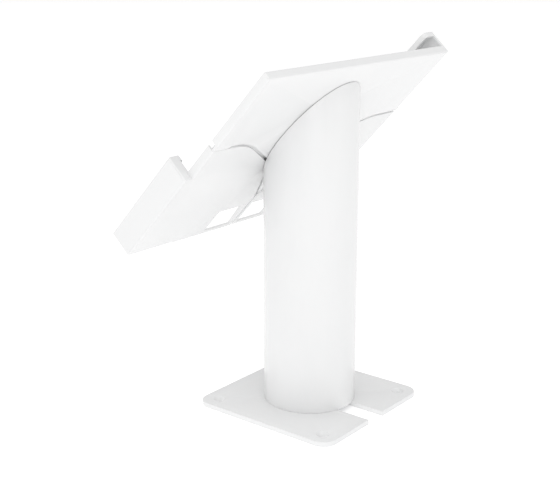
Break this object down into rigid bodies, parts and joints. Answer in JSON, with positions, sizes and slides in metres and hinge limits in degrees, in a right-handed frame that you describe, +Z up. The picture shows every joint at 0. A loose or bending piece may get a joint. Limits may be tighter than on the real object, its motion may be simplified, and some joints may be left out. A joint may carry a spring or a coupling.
{
  "type": "card payment terminal stand",
  "caption": "Counter stand that holds a payment terminal or tablet: slotted base plate, slant-cut tube and a tilted sheet-metal tray with sliding corner wings.",
  "frame": {"origin": "on the tube's axis at the underside of the base plate, the centre of its four-hole pattern", "axes": "+Z up along the tube, -Y towards the user in front of the tray, +Y behind the stand, +X the tray's left-hand side seen from behind"},
  "size_m": [0.243, 0.1681, 0.2993],
  "materials": {
    "white_powder_coat": "satin, fine texture",
    "zinc_steel": "zinc plated",
    "black_rubber": "matte"
  },
  "bodies": {
    "stand": {"base_plate": "white_powder_coat", "column_tube": "white_powder_coat", "column_foot": "zinc_steel", "foot_screws": "zinc_steel", "head_flange": "zinc_steel", "head_screws": "zinc_steel", "upper_panel": "white_powder_coat", "inner_plate": "white_powder_coat", "panel_studs": "zinc_steel", "panel_nuts": "zinc_steel", "cable_grommet": "black_rubber", "upper_rest_pads": "black_rubber", "lower_rest_pads": "black_rubber"},
    "left_carriage": {"left_wing": "white_powder_coat", "left_studs": "zinc_steel", "left_washers": "zinc_steel", "left_nuts": "zinc_steel", "left_side_pad": "black_rubber", "left_bottom_pad": "black_rubber"},
    "right_carriage": {"right_wing": "white_powder_coat", "right_studs": "zinc_steel", "right_washers": "zinc_steel", "right_nuts": "zinc_steel", "right_side_pad": "black_rubber", "right_bottom_pad": "black_rubber"}
  },
  "joints": [
    {"name": "left_slide", "type": "slide", "parent": "stand", "child": "left_carriage", "axis": [0.7071, -0.4822, -0.5171], "range_m": [0, 0.015]},
    {"name": "right_slide", "type": "slide", "parent": "stand", "child": "right_carriage", "axis": [-0.7071, -0.4822, -0.5171], "range_m": [0, 0.015]}
  ]
}
